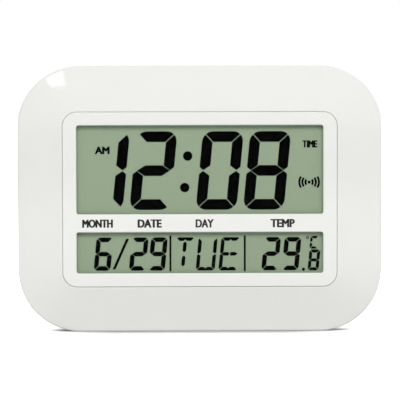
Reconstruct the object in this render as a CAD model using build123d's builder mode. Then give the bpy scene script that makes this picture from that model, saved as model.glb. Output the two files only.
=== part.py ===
from build123d import *
import math
import os

os.makedirs("parts", exist_ok=True)

# Digital wall and desk clock with a segment display.
# Millimetres. X runs to the viewer's right, Y from the front to the back, Z up.
# The origin lies under the middle of the case, halfway through its depth.

# ---- Case: overall form and walls
case_width = 275.0
case_height = 200.6
case_depth = 28.0
case_corner = 47.5  # radius of the corners, seen from the front
case_wall = 2.2
border_drop = 6.0  # how far the border falls back from its inner edge to the outline
border_land = 0.8  # flat rim round the opening
edge_round = 1.8  # rounding from the border into the side wall
back_round = 3.0
rear_wall = 2.0
parting_depth = 18.0  # from the front face to the line where the two shells meet
parting_bevel = 0.3
lap_height = 1.6
lap_gap = 0.1
opening_corner = 11.0
collar_wall = 2.2
ledge_width = 5.0  # shelf behind the surround
ledge_thickness = 2.0
rib_thickness = 1.2
rib_back_depth = 10.0  # from the front face to the back edge of the border's ribs

# ---- Case screws and their bosses
case_screw_inset = 32.5  # upper and lower rows, from the sides of the case
front_boss_radius = 3.5
rear_boss_radius = 4.6
head_clearance = 0.45
head_recess_depth = 7.0
screw_shank_radius = 1.25
screw_head_radius = 2.8
screw_head_height = 2.0
screw_length = 11.0
pilot_clearance = 0.03
passage_clearance = 0.4

# ---- Display surround and its windows
panel_side = 10.65  # surround beside the windows, with its share of the gap
panel_end = 10.35  # surround above and below the windows, with its share of the gap
panel_gap = 0.3
panel_thickness = 2.4
panel_edge_bevel = 0.3
window_width = 185.9
time_window_height = 66.9
date_window_height = 30.9
window_bar = 13.7  # bar between the two windows
window_corner = 1.8
window_bevel = 0.6
hook_width = 6.0
hook_thickness = 1.2
hook_reach = 0.7
hook_barb = 0.6
hook_gap = 0.3

# ---- Display stack, front to back
lens_thickness = 1.0
lens_gap = 0.3
lens_corner = 5.0
film_thickness = 0.2
glass_thickness = 1.1
cell_gap = 0.1  # liquid crystal layer between the two glasses
lcd_margin = 2.8  # glass beyond the windows
film_margin = 1.0  # film inside the edge of the glass
contact_ledge = 3.0  # front glass left bare along its top edge
holder_thickness = 2.5
holder_rail = 14.0
holder_rib = 8.0
holder_edge_gap = 1.0
contact_strip_width = 2.0
contact_strip_end = 3.1  # between the strip and the heads of the board's screws
contact_strip_gap = 0.3
small_screw_shank_radius = 0.9
small_screw_head_radius = 1.9
small_screw_head_height = 1.2
small_screw_length = 4.5
holder_boss_radius = 2.2

# ---- Segments of the display
slant = 0.096  # sideways lean of the characters for each unit of height
digit_width = 30.8
digit_height = 59.2
digit_stroke = 8.0
digit_pitch = 35.75
digit_gap = 0.55
minutes_x = 32.9  # middle of the two minute digits
hours_x = -52.85
time_row_z = 21.5  # middle of the row above the middle of the surround
colon_radius = 3.55
colon_spacing = 23.8
colon_x = -10.25
colon_drop = 0.9  # the colon sits a little below the middle of its row
row_digit_width = 12.7
row_digit_height = 25.1
row_digit_stroke = 3.45
row_gap = 0.36
date_row_z = -41.5
letter_width = 14.4
letter_stroke = 2.7
tenth_width = 8.3
tenth_height = 15.8
tenth_stroke = 2.35
unit_width = 6.2
unit_height = 9.6
unit_stroke = 1.8
divider_width = 1.45
divider_height = 27.0
slash_width = 2.15
slash_height = 23.1
slash_lean = 10.3
point_radius = 1.15
month_x = -72.8
slash_x = -59.75
day_x = -38.95  # middle of the two day digits
day_pitch = 14.5
weekday_x = 5.1  # middle letter of the three
letter_pitch = 17.15
letter_notch = 1.2
temperature_x = 61.5  # middle of the two whole degrees
temperature_pitch = 15.4
point_x = 78.25
point_drop = 11.85
tenth_x = 86.2
tenth_drop = 4.8
degree_radius = 1.1
degree_hole = 0.55
degree_x = 81.3
degree_rise = 12.2
unit_x = 86.3
unit_rise = 8.5
left_divider_x = -22.3
right_divider_x = 33.9
divider_rise = 0.4

# ---- Boards
board_thickness = 1.6
board_standoff = 0.6
main_board_width = 178.0
main_board_height = 30.0
main_board_rise = 3.0  # top of the board above the top edge of the glass
board_screw_inset = 4.0
controller_x = -28.0
controller_radius = 8.0
controller_height = 2.2
controller_bevel = 1.5
crystal_x = 2.0
crystal_radius = 1.5
crystal_length = 8.0
capacitor_radius = 2.5
capacitor_height = 7.0
capacitor_bevel = 0.4
capacitor_rise = 6.0
filter_x = 28.0  # middle of the two filter capacitors
filter_pitch = 8.0
reservoir_x = -50.0

# ---- Batteries, their well and its door
cell_diameter = 14.5
cell_length = 49.5
cell_nipple_radius = 2.75
cell_nipple = 1.0
cell_clearance = 0.4
contact_thickness = 0.4
spring_length = 5.0
spring_wire = 0.8
spring_radius = 4.6
spring_taper = 14.0
spring_turns = 4
tail_width = 3.0  # solder tails of the contacts, out through the wall of the well
tail_reach = 2.0
tail_clearance = 0.15
well_wall = 2.0
well_floor = 1.4
well_rise = 9.0  # middle of the well above the middle of the case
door_ledge = 1.0
door_gap = 0.3
door_lip = 0.5  # space between the door and the cells
tab_width = 8.0
tab_spacing = 34.0
tab_length = 2.6
tab_thickness = 1.3
tab_clearance = 0.15
latch_width = 12.0
latch_slot = 1.0
latch_drop = 6.0
latch_thickness = 1.2

# ---- Fold-out foot
foot_width = 72.0
foot_length = 46.0
foot_thickness = 3.0
foot_skin = 1.4
foot_rib = 1.4
foot_corner = 9.0
foot_side_gap = 0.4
foot_gap = 0.3
foot_axis_height = 12.0
foot_pin_radius = 1.2
foot_sink = 0.4  # foot below the back face when folded
foot_pin_length = 3.0
foot_pin_clearance = 0.06
tray_wall = 1.8
tray_cheek = 4.5
notch_width = 20.0
notch_height = 20.0
notch_corner = 4.0
notch_depth = 5.6

# ---- Keys
key_x = 80.0
key_count = 5
key_pitch = 12.0
key_width = 9.0
key_height = 5.0
key_corner = 1.6
key_gap = 0.15
key_rise = 1.1
key_flange = 1.0
key_flange_thickness = 0.8
key_post_radius = 1.4
key_post_length = 1.5
key_travel = 0.5
key_bay_width = 15.0
key_bay_depth = 1.4
key_bay_rise = 4.0  # middle of the key row above the middle of the case
reset_radius = 1.8
switch_size = 6.0
switch_height = 3.5
plunger_radius = 1.75
plunger_rise = 0.8
key_board_width = 20.0
key_board_margin = 12.0
key_post_support_radius = 2.6

# ---- Hanging keyhole
keyhole_entry_radius = 4.2
keyhole_slot_width = 4.2
keyhole_lift = 9.0
keyhole_drop = 28.0  # entry hole below the top of the case
pocket_wall = 1.6
pocket_side = 2.0
pocket_depth = 6.5

# ---- Aerial and receiver
rod_radius = 4.0
rod_length = 60.0
rod_x = -66.0
rod_drop = 21.0  # below the top of the case
rod_clearance = 0.05
saddle_thickness = 2.0
saddle_height = 13.0
saddle_spacing = 44.0
coil_radius = 6.2
coil_length = 20.0
flange_radius = 7.4
flange_thickness = 1.0
receiver_width = 24.0
receiver_height = 14.0
receiver_thickness = 1.0
receiver_x = -66.0
receiver_drop = 44.0

# ---- Leads between the boards and the cells
lead_radius = 0.6
lead_bend = 2.5
lead_inset = 4.5  # from the lower edge of the main board
negative_lead_x = -38.0
positive_lead_x = -42.0
receiver_lead_radius = 0.5
receiver_lead_bend = 2.0
receiver_lead_pitch = 2.0
receiver_lead_x = -59.0  # middle one of the three
receiver_lead_drop = 9.0
coil_wire_radius = 0.3
coil_wire_spacing = 6.0
ribbon_x = 74.0
ribbon_width = 7.0
ribbon_thickness = 0.3
ribbon_bend = 1.0
ribbon_stand = 2.8  # out from the main board before the ribbon turns down
ribbon_inset = 7.0  # from the lower edge of the main board
ribbon_drop = 14.0

# ---- Vents and thermometer
vent_count = 6
vent_pitch = 3.6
vent_length = 14.0
vent_width = 1.6
vent_rise = 44.0
sensor_radius = 1.3
sensor_length = 4.0

# ---- Depths worked out from the sizes above
front_y = -case_depth / 2
back_y = case_depth / 2
rear_inner_y = back_y - rear_wall
middle_z = case_height / 2
border_y = front_y + border_drop
parting_y = front_y + parting_depth
windows_height = time_window_height + window_bar + date_window_height
opening_width = window_width + 2 * panel_side
opening_height = windows_height + 2 * panel_end
side_border = (case_width - opening_width) / 2
end_border = (case_height - opening_height) / 2
border_slope = border_drop / (min(side_border, end_border) - border_land)
border_wall = case_wall * math.hypot(1, border_slope)
panel_back_y = front_y + panel_thickness
ledge_back_y = panel_back_y + ledge_thickness
lens_back_y = panel_back_y + lens_thickness
polariser_back_y = lens_back_y + film_thickness
front_glass_back_y = polariser_back_y + glass_thickness
segment_back_y = front_glass_back_y + cell_gap
rear_glass_back_y = segment_back_y + glass_thickness
reflector_back_y = rear_glass_back_y + film_thickness
holder_back_y = reflector_back_y + holder_thickness
board_front_y = holder_back_y + board_standoff
board_back_y = board_front_y + board_thickness

# ---- Places worked out from the sizes above
time_window_z = windows_height / 2 - time_window_height / 2
date_window_z = date_window_height / 2 - windows_height / 2
lens_width = opening_width - 2 * ledge_width - 2 * lens_gap
lens_height = opening_height - 2 * ledge_width - 2 * lens_gap
lcd_width = window_width + 2 * lcd_margin
lcd_height = windows_height + 2 * lcd_margin
main_board_z = lcd_height / 2 + main_board_rise - main_board_height / 2
contact_strip_z = lcd_height / 2 - contact_ledge / 2
contact_strip_cut = board_screw_inset + small_screw_head_radius + contact_strip_end
contact_strip_length = main_board_width - 2 * contact_strip_cut


def facing(y):
    """Sketch plane at depth y, centred on the case. Local x is X, local y is Z, the normal faces forward."""
    return Plane(origin=(0, y, middle_z), x_dir=(1, 0, 0), z_dir=(0, -1, 0))


def across(x, y, z):
    """Sketch plane that faces right at a point given on the front view. Local x is Y and local y is Z."""
    return Plane(origin=(x, y, middle_z + z), x_dir=(0, 1, 0), z_dir=(1, 0, 0))


def case_outline(inset, mode=Mode.ADD):
    """Rounded outline of the case, drawn inwards by inset."""
    RectangleRounded(case_width - 2 * inset, case_height - 2 * inset, case_corner - inset, mode=mode)


def opening_outline(outset):
    """Outline of the opening for the display surround, drawn outwards by outset."""
    RectangleRounded(opening_width + 2 * outset, opening_height + 2 * outset, opening_corner + outset)


def windows(mode):
    """The two display windows."""
    with Locations((0, time_window_z)):
        RectangleRounded(window_width, time_window_height, window_corner, mode=mode)
    with Locations((0, date_window_z)):
        RectangleRounded(window_width, date_window_height, window_corner, mode=mode)


def pegs(places, radius, start_y, length, mode=Mode.ADD):
    """Round pegs or holes from depth start_y, forward by length or backward by a negative length."""
    with BuildSketch(facing(start_y)) as circles:
        with Locations(*places):
            Circle(radius)
    extrude(circles.sketch, amount=length, mode=mode)


def block(centre, width, height, back, front, mode=Mode.ADD):
    """Upright block between two depths, centred on a place on the front view."""
    with BuildSketch(facing(back)) as outline:
        with Locations(centre):
            Rectangle(width, height)
    extrude(outline.sketch, amount=back - front, mode=mode)


def pan_screws(places, seat_y, head_radius, head_height, shank_radius, length, way=1):
    """Pan-head screws seated at seat_y. Their shanks run forward, or backward where way is -1."""
    pegs(places, shank_radius, seat_y, way * length)
    pegs(places, head_radius, seat_y, -way * head_height)


# ---- Places of screws, hooks and ribs, on the front view from the middle of the case
case_screw_x = case_width / 2 - case_screw_inset
case_screw_z = opening_height / 2 + (end_border + collar_wall) / 2
side_screw_x = opening_width / 2 + (side_border + collar_wall) / 2
case_screw_places = [(sx * case_screw_x, sz * case_screw_z) for sx in (-1, 1) for sz in (-1, 1)]
case_screw_places += [(sx * side_screw_x, 0) for sx in (-1, 1)]
shelf_x = opening_width / 2 - ledge_width / 2
shelf_z = opening_height / 2 - ledge_width / 2
holder_screw_places = [(sx * shelf_x, sz * opening_height / 3) for sx in (-1, 1) for sz in (-1, 1)]
holder_screw_places += [(sx * opening_width / 4, sz * shelf_z) for sx in (-1, 1) for sz in (-1, 1)]
side_hook_places = [(sx * shelf_x, sz * opening_height / 7) for sx in (-1, 1) for sz in (-1, 1)]
end_hook_places = [(sx * opening_width / 2.6, sz * shelf_z) for sx in (-1, 0, 1) for sz in (-1, 1)]
rib_x_places = [-0.3 * opening_width, -0.1 * opening_width, 0.1 * opening_width, 0.3 * opening_width]
rib_z_places = [-0.25 * opening_height, 0.25 * opening_height]

# ---- Front frame: broad sloping border, side wall, and the shelf that carries the display
with BuildPart() as front_form:
    with BuildSketch(facing(parting_y)):
        case_outline(0)
    extrude(amount=parting_y - border_y)
    with BuildSketch(facing(border_y)):
        case_outline(0)
    with BuildSketch(facing(front_y)):
        opening_outline(border_land)
    loft(ruled=True)
    fillet(front_form.edges().filter_by_position(Axis.Y, border_y - 0.01, border_y + 0.01), edge_round)
    chamfer(front_form.faces().sort_by(Axis.Y)[-1].edges(), parting_bevel)

with BuildPart() as front_frame:
    add(front_form.part)
    hollow_y = border_y + border_wall - border_slope * case_wall
    with BuildSketch(facing(parting_y)):
        case_outline(case_wall)
    extrude(amount=parting_y - hollow_y, mode=Mode.SUBTRACT)
    with BuildSketch(facing(hollow_y)):
        case_outline(case_wall)
    with BuildSketch(facing(front_y + border_wall)):
        opening_outline(border_land)
    loft(ruled=True, mode=Mode.SUBTRACT)
    with BuildSketch(facing(ledge_back_y)):
        opening_outline(collar_wall)
    extrude(amount=ledge_back_y - front_y - border_land)
    rib_back_y = front_y + rib_back_depth
    for rib_x in rib_x_places:
        for side in (-1, 1):
            place = (rib_x, side * case_screw_z)
            block(place, rib_thickness, end_border - collar_wall, rib_back_y, front_y)
    for rib_z in rib_z_places:
        for side in (-1, 1):
            place = (side * side_screw_x, rib_z)
            block(place, side_border - collar_wall, rib_thickness, rib_back_y, front_y)
    pegs(case_screw_places, front_boss_radius, parting_y, parting_y - front_y)
    pegs(holder_screw_places, holder_boss_radius, reflector_back_y, reflector_back_y - front_y)
    add(front_form.part, mode=Mode.INTERSECT)
    with BuildSketch(facing(panel_back_y)):
        opening_outline(0)
    extrude(amount=panel_thickness, mode=Mode.SUBTRACT)
    with BuildSketch(facing(ledge_back_y)):
        RectangleRounded(lens_width + 2 * lens_gap, lens_height + 2 * lens_gap, lens_corner)
        hook_slot = hook_thickness + hook_barb + 2 * hook_gap
        with Locations(*side_hook_places):
            Rectangle(hook_slot, hook_width + 2 * hook_gap)
        with Locations(*end_hook_places):
            Rectangle(hook_width + 2 * hook_gap, hook_slot)
    extrude(amount=ledge_thickness, mode=Mode.SUBTRACT)
    with BuildSketch(facing(parting_y)):
        case_outline(case_wall / 2)
        case_outline(case_wall, Mode.SUBTRACT)
    extrude(amount=lap_height + lap_gap, mode=Mode.SUBTRACT)
    pegs(case_screw_places, screw_shank_radius + pilot_clearance, parting_y, screw_length, Mode.SUBTRACT)
    holder_pilot = small_screw_length - holder_thickness + holder_edge_gap / 2
    pegs(
        holder_screw_places,
        small_screw_shank_radius + pilot_clearance,
        reflector_back_y,
        holder_pilot,
        Mode.SUBTRACT,
    )
front_frame.part.label = "front_frame"
export_step(front_frame.part, "parts/front_frame.step")

# ---- Display surround: a flush panel with two bevelled windows, held by hooks through the shelf
with BuildPart() as front_panel:
    with BuildSketch(facing(panel_back_y)):
        opening_outline(-panel_gap)
        windows(Mode.SUBTRACT)
    extrude(amount=panel_thickness)
    panel_face = front_panel.faces().sort_by(Axis.Y)[0]
    window_edges = [edge for wire in panel_face.inner_wires() for edge in wire.edges()]
    outer_edges = panel_face.outer_wire().edges()
    chamfer(window_edges, window_bevel)
    chamfer(outer_edges, panel_edge_bevel)
    barb_front_y = ledge_back_y + lap_gap
    barb_back_y = barb_front_y + hook_reach
    for x, z in side_hook_places:
        side = math.copysign(1, x)
        block((x - side * hook_barb / 2, z), hook_thickness, hook_width, barb_back_y, panel_back_y)
        barb_x = x + side * hook_thickness / 2
        block((barb_x, z), hook_barb, hook_width, barb_back_y, barb_front_y)
    for x, z in end_hook_places:
        side = math.copysign(1, z)
        block((x, z - side * hook_barb / 2), hook_width, hook_thickness, barb_back_y, panel_back_y)
        barb_z = z + side * hook_thickness / 2
        block((x, barb_z), hook_width, hook_barb, barb_back_y, barb_front_y)
front_panel.part.label = "front_panel"
export_step(front_panel.part, "parts/front_panel.step")

# ---- Display stack: lens, film, front glass, segments, rear glass, reflecting film
with BuildPart() as display_lens:
    with BuildSketch(facing(lens_back_y)):
        RectangleRounded(lens_width, lens_height, lens_corner - lens_gap)
    extrude(amount=lens_thickness)
display_lens.part.label = "display_lens"
export_step(display_lens.part, "parts/display_lens.step")

rear_glass_height = lcd_height - contact_ledge
rear_glass_place = (0, -contact_ledge / 2)

with BuildPart() as front_polariser:
    block((0, 0), lcd_width - 2 * film_margin, lcd_height - 2 * film_margin, polariser_back_y, lens_back_y)
front_polariser.part.label = "front_polariser"
export_step(front_polariser.part, "parts/front_polariser.step")

with BuildPart() as front_glass:
    block((0, 0), lcd_width, lcd_height, front_glass_back_y, polariser_back_y)
front_glass.part.label = "front_glass"
export_step(front_glass.part, "parts/front_glass.step")

with BuildPart() as rear_glass:
    block(rear_glass_place, lcd_width, rear_glass_height, rear_glass_back_y, segment_back_y)
rear_glass.part.label = "rear_glass"
export_step(rear_glass.part, "parts/rear_glass.step")

with BuildPart() as reflector:
    film_width = lcd_width - 2 * film_margin
    film_height = rear_glass_height - 2 * film_margin
    block(rear_glass_place, film_width, film_height, reflector_back_y, rear_glass_back_y)
reflector.part.label = "reflector"
export_step(reflector.part, "parts/reflector.step")


# ---- Segment characters. Each is drawn about its own middle and leans by slant.
def leaning(centre, x, z):
    """A point of a character, moved sideways in proportion to its height."""
    return (centre[0] + x + slant * z, centre[1] + z)


def corner_points(width, height, stroke, gap, flip_x, flip_z, along_x):
    """Mitre, arc and edge points where a bar meets the rounded corner of a character."""
    corner_x = width / 2 - stroke
    corner_z = height / 2 - stroke
    shift = gap / math.sqrt(2)
    sweep = gap / 2 / stroke
    if along_x:
        angles = (math.pi / 4 + sweep, 3 * math.pi / 8, math.pi / 2)
        inner = (corner_x - shift, corner_z)
    else:
        angles = (math.pi / 4 - sweep, math.pi / 8, 0)
        inner = (corner_x, corner_z - shift)
    arc = [(corner_x + stroke * math.cos(a), corner_z + stroke * math.sin(a)) for a in angles]
    return [(flip_x * x, flip_z * z) for x, z in [inner, *arc]]


def flat_bar(centre, width, height, stroke, gap, flip_z, notch=0):
    """Top or bottom bar, with a notch in the middle of its inner edge where notch is more than nothing."""
    left = [leaning(centre, *p) for p in corner_points(width, height, stroke, gap, -1, flip_z, True)]
    right = [leaning(centre, *p) for p in corner_points(width, height, stroke, gap, 1, flip_z, True)]
    inner_z = flip_z * (height / 2 - stroke)
    with BuildLine() as edge:
        ThreePointArc(left[1], left[2], left[3])
        Line(left[3], right[3])
        ThreePointArc(right[3], right[2], right[1])
        Line(right[1], right[0])
        if notch:
            notch_right = leaning(centre, notch, inner_z)
            notch_tip = leaning(centre, 0, inner_z + flip_z * notch)
            notch_left = leaning(centre, -notch, inner_z)
            Polyline(right[0], notch_right, notch_tip, notch_left, left[0])
        else:
            Line(right[0], left[0])
        Line(left[0], left[1])
    make_face(edge.edges())


def side_bar(centre, width, height, stroke, gap, flip_x, flip_z):
    """Upper or lower upright bar on one side, pointed where it meets the middle bar."""
    top = [leaning(centre, *p) for p in corner_points(width, height, stroke, gap, flip_x, flip_z, False)]
    outer_x = flip_x * width / 2
    tip_x = flip_x * (width / 2 - 0.37 * stroke)
    inner_x = flip_x * (width / 2 - stroke)
    outer_end = leaning(centre, outer_x, flip_z * 0.33 * stroke)
    tip = leaning(centre, tip_x, flip_z * gap / 2)
    inner_end = leaning(centre, inner_x, flip_z * (0.42 * stroke + gap))
    with BuildLine() as edge:
        ThreePointArc(top[1], top[2], top[3])
        Polyline(top[3], outer_end, tip, inner_end, top[0], top[1])
    make_face(edge.edges())


def middle_bar(centre, width, stroke, start=-1, end=1):
    """Middle bar, six-sided. start and end shorten it to its left or right half."""
    tip_x = width / 2 - 0.37 * stroke
    flat_x = width / 2 - 1.12 * stroke
    flat_z = stroke / 2
    half = 0.06 * stroke
    left = [(-flat_x, flat_z), (-tip_x, 0), (-flat_x, -flat_z)]
    right = [(flat_x, -flat_z), (tip_x, 0), (flat_x, flat_z)]
    if start > -1:
        left = [(half + flat_z / 2, flat_z), (half, 0), (half + flat_z / 2, -flat_z)]
    if end < 1:
        right = [(-half - flat_z / 2, -flat_z), (-half, 0), (-half - flat_z / 2, flat_z)]
    with BuildLine() as edge:
        Polyline(*[leaning(centre, x, z) for x, z in left + right], close=True)
    make_face(edge.edges())


def character(bars, centre, width, height, stroke, gap, notch=0):
    """One character from its bars, named as is usual: a top, b to f clockwise, g middle."""
    if "a" in bars:
        flat_bar(centre, width, height, stroke, gap, 1, notch)
    if "d" in bars:
        flat_bar(centre, width, height, stroke, gap, -1, notch)
    for name, flip_x, flip_z in (("b", 1, 1), ("c", 1, -1), ("e", -1, -1), ("f", -1, 1)):
        if name in bars:
            side_bar(centre, width, height, stroke, gap, flip_x, flip_z)
    if "g" in bars:
        middle_bar(centre, width, stroke)
    if "h" in bars:
        middle_bar(centre, width, stroke, end=0)
        middle_bar(centre, width, stroke, start=0)


def stem(centre, height, stroke, gap, flip_z):
    """Upper or lower half of the upright in the middle of a letter, pointed at both ends."""
    low = gap + 0.3 * stroke
    high = height / 2 - stroke - gap
    half = stroke / 2
    right = [(0, low), (half, low + half), (half, high - half)]
    left = [(0, high), (-half, high - half), (-half, low + half)]
    with BuildLine() as edge:
        Polyline(*[leaning(centre, x, flip_z * z) for x, z in right + left], close=True)
    make_face(edge.edges())


with BuildPart() as lcd_segments:
    with BuildSketch(facing(segment_back_y)):
        time_size = (digit_width, digit_height, digit_stroke, digit_gap)
        for bars, x in (
            ("bc", hours_x - digit_pitch / 2),
            ("abged", hours_x + digit_pitch / 2),
            ("abcdef", minutes_x - digit_pitch / 2),
            ("abcdefg", minutes_x + digit_pitch / 2),
        ):
            character(bars, (x, time_row_z), *time_size)
        for side in (-1, 1):
            with Locations(leaning((colon_x, time_row_z - colon_drop), 0, side * colon_spacing / 2)):
                Circle(colon_radius)
        row_size = (row_digit_width, row_digit_height, row_digit_stroke, row_gap)
        for bars, x in (
            ("acdefg", month_x),
            ("abged", day_x - day_pitch / 2),
            ("abcdfg", day_x + day_pitch / 2),
            ("abged", temperature_x - temperature_pitch / 2),
            ("abcdfg", temperature_x + temperature_pitch / 2),
        ):
            character(bars, (x, date_row_z), *row_size)
        letter_size = (letter_width, row_digit_height, letter_stroke, row_gap)
        first_letter_x = weekday_x - letter_pitch
        for bars, x in (
            ("a", first_letter_x),
            ("bcdef", weekday_x),
            ("adefh", weekday_x + letter_pitch),
        ):
            character(bars, (x, date_row_z), *letter_size, notch=letter_notch)
        for side in (-1, 1):
            stem((first_letter_x, date_row_z), row_digit_height, letter_stroke, row_gap, side)
        tenth_size = (tenth_width, tenth_height, tenth_stroke, row_gap)
        character("abcdefg", (tenth_x, date_row_z - tenth_drop), *tenth_size)
        unit_size = (unit_width, unit_height, unit_stroke, row_gap)
        character("adef", (unit_x, date_row_z + unit_rise), *unit_size)
        with Locations((degree_x, date_row_z + degree_rise)):
            Circle(degree_radius)
            Circle(degree_hole, mode=Mode.SUBTRACT)
        with Locations((point_x, date_row_z - point_drop)):
            Circle(point_radius)
        for x in (left_divider_x, right_divider_x):
            with Locations((x, date_row_z + divider_rise)):
                Rectangle(divider_width, divider_height)
        with BuildLine():
            low_x = slash_x - slash_lean / 2
            high_x = slash_x + slash_lean / 2
            low_z = date_row_z - slash_height / 2
            high_z = date_row_z + slash_height / 2
            half = slash_width / 2
            Polyline(
                (low_x - half, low_z),
                (low_x + half, low_z),
                (high_x + half, high_z),
                (high_x - half, high_z),
                close=True,
            )
        make_face()
    extrude(amount=cell_gap)
lcd_segments.part.label = "lcd_segments"
export_step(lcd_segments.part, "parts/lcd_segments.step")

# ---- Holder that clamps the glass against the lens, and carries the main board
holder_width = opening_width + 2 * collar_wall - 2 * holder_edge_gap
holder_height = opening_height + 2 * collar_wall - 2 * holder_edge_gap
holder_open_width = holder_width - 2 * holder_rail
holder_open_height = holder_height - 2 * holder_rail
holder_rib_x = holder_open_width / 3
board_screw_top = (main_board_width / 2 - board_screw_inset, holder_open_height / 2 + holder_rail / 3)
board_screw_low = (holder_rib_x, main_board_z - main_board_height / 2 + board_screw_inset)
board_screw_places = [(side * x, z) for x, z in (board_screw_top, board_screw_low) for side in (-1, 1)]
board_screw_length = board_thickness + board_standoff + holder_thickness / 2

with BuildPart() as lcd_holder:
    with BuildSketch(facing(holder_back_y)):
        RectangleRounded(holder_width, holder_height, lens_corner)
        RectangleRounded(holder_open_width, holder_open_height, lens_corner, mode=Mode.SUBTRACT)
        with Locations((holder_rib_x, 0), (-holder_rib_x, 0)):
            Rectangle(holder_rib, holder_open_height)
        with Locations((0, contact_strip_z)):
            slot_length = contact_strip_length + 2 * contact_strip_gap
            Rectangle(slot_length, contact_strip_width + 2 * contact_strip_gap, mode=Mode.SUBTRACT)
    extrude(amount=holder_thickness)
    pegs(board_screw_places, holder_boss_radius, board_front_y, board_standoff)
    pegs(
        board_screw_places,
        small_screw_shank_radius + pilot_clearance,
        board_front_y,
        board_screw_length - board_thickness + holder_edge_gap / 4,
        Mode.SUBTRACT,
    )
    pegs(
        holder_screw_places,
        small_screw_shank_radius + passage_clearance / 2,
        holder_back_y,
        holder_thickness,
        Mode.SUBTRACT,
    )
lcd_holder.part.label = "lcd_holder"
export_step(lcd_holder.part, "parts/lcd_holder.step")

with BuildPart() as contact_strip:
    strip_place = (0, contact_strip_z)
    block(strip_place, contact_strip_length, contact_strip_width, board_front_y, front_glass_back_y)
contact_strip.part.label = "contact_strip"
export_step(contact_strip.part, "parts/contact_strip.step")

with BuildPart() as holder_screws:
    pan_screws(
        holder_screw_places,
        holder_back_y,
        small_screw_head_radius,
        small_screw_head_height,
        small_screw_shank_radius,
        small_screw_length,
    )
holder_screws.part.label = "holder_screws"
export_step(holder_screws.part, "parts/holder_screws.step")

# ---- Main board and what stands on it
with BuildPart() as main_board:
    block((0, main_board_z), main_board_width, main_board_height, board_back_y, board_front_y)
    board_hole = small_screw_shank_radius + passage_clearance / 2
    pegs(board_screw_places, board_hole, board_back_y, board_thickness, Mode.SUBTRACT)
main_board.part.label = "main_board"
export_step(main_board.part, "parts/main_board.step")

with BuildPart() as board_screws:
    pan_screws(
        board_screw_places,
        board_back_y,
        small_screw_head_radius,
        small_screw_head_height,
        small_screw_shank_radius,
        board_screw_length,
    )
board_screws.part.label = "board_screws"
export_step(board_screws.part, "parts/board_screws.step")

with BuildPart() as controller:
    pegs([(controller_x, main_board_z)], controller_radius, board_back_y, -controller_height)
    chamfer(controller.faces().group_by(Axis.Y)[-1].edges(), controller_bevel)
controller.part.label = "controller"
export_step(controller.part, "parts/controller.step")

with BuildPart() as crystal:
    with BuildSketch(across(crystal_x, board_back_y + crystal_radius, main_board_z)):
        Circle(crystal_radius)
    extrude(amount=crystal_length)
crystal.part.label = "crystal"
export_step(crystal.part, "parts/crystal.step")

with BuildPart() as capacitors:
    capacitor_xs = (filter_x - filter_pitch / 2, filter_x + filter_pitch / 2, reservoir_x)
    capacitor_places = [(x, main_board_z + capacitor_rise) for x in capacitor_xs]
    pegs(capacitor_places, capacitor_radius, board_back_y, -capacitor_height)
    chamfer(capacitors.faces().group_by(Axis.Y)[-1].edges(), capacitor_bevel)
capacitors.part.label = "capacitors"
export_step(capacitors.part, "parts/capacitors.step")

# ---- Depths and places at the back
cell_pitch = cell_diameter + cell_clearance
cell_y = rear_inner_y - door_lip - cell_diameter / 2
well_floor_y = cell_y - cell_diameter / 2 - lap_gap
well_length = cell_length + cell_nipple + spring_length + 2 * contact_thickness
well_height = 2 * cell_diameter + 3 * cell_clearance
door_opening_width = well_length + 2 * door_ledge
door_opening_height = well_height + 2 * door_ledge
door_axis_z = well_rise - door_opening_height / 2
tab_places = [(side * tab_spacing / 2, door_axis_z) for side in (-1, 1)]
negative_z = well_rise + cell_pitch / 2
positive_z = well_rise - cell_pitch / 2
foot_axis_z = foot_axis_height - middle_z
foot_axis_y = back_y - foot_sink - foot_thickness / 2
foot_inner_y = back_y - foot_sink - foot_thickness
tray_y = foot_inner_y - foot_gap
barrel_radius = foot_thickness / 2
notch_z = foot_axis_z + foot_length
key_slots = key_count + 1
key_places = [(key_x, key_bay_rise + (key_slots - 1 - 2 * i) / 2 * key_pitch) for i in range(key_slots)]
key_bay_height = key_slots * key_pitch + key_height / 2
key_bay_y = back_y - key_bay_depth
key_seat_y = key_bay_y - rear_wall
key_flange_y = key_seat_y - key_flange_thickness
plunger_y = key_flange_y - key_post_length
switch_back_y = plunger_y - plunger_rise
key_board_back_y = switch_back_y - switch_height
key_board_front_y = key_board_back_y - board_thickness
key_board_height = key_bay_height + key_board_margin
key_support_z = key_board_height / 2 - key_post_support_radius
key_support_places = [(key_x, key_bay_rise + side * key_support_z) for side in (-1, 1)]
head_seat_y = back_y - head_recess_depth
keyhole_z = case_height / 2 - keyhole_drop
pocket_width = 2 * (keyhole_entry_radius + pocket_side)
pocket_height = pocket_width + keyhole_lift
pocket_z = keyhole_z + keyhole_lift / 2
rod_y = rear_inner_y - flange_radius - lap_gap
rod_z = case_height / 2 - rod_drop
receiver_z = case_height / 2 - receiver_drop
receiver_y = rear_inner_y - pocket_depth / 2
vent_z = vent_rise - middle_z


def foot_outline(outset, low):
    """Outline of the foot from low to its rounded free end, drawn outwards by outset."""
    top = foot_axis_z + foot_length + outset
    with BuildSketch() as outline:
        with Locations((0, (low + top) / 2)):
            Rectangle(foot_width + 2 * outset, top - low)
        fillet(outline.vertices().group_by(Axis.Y)[-1], foot_corner + outset)
    add(outline.sketch)


# ---- Rear cover: shell, screw bosses, battery well, foot tray, key bay and hanging keyhole
with BuildPart() as rear_form:
    with BuildSketch(facing(back_y)):
        case_outline(0)
    extrude(amount=back_y - parting_y)
    fillet(rear_form.faces().sort_by(Axis.Y)[-1].edges(), back_round)
    chamfer(rear_form.faces().sort_by(Axis.Y)[0].edges(), parting_bevel)

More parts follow.
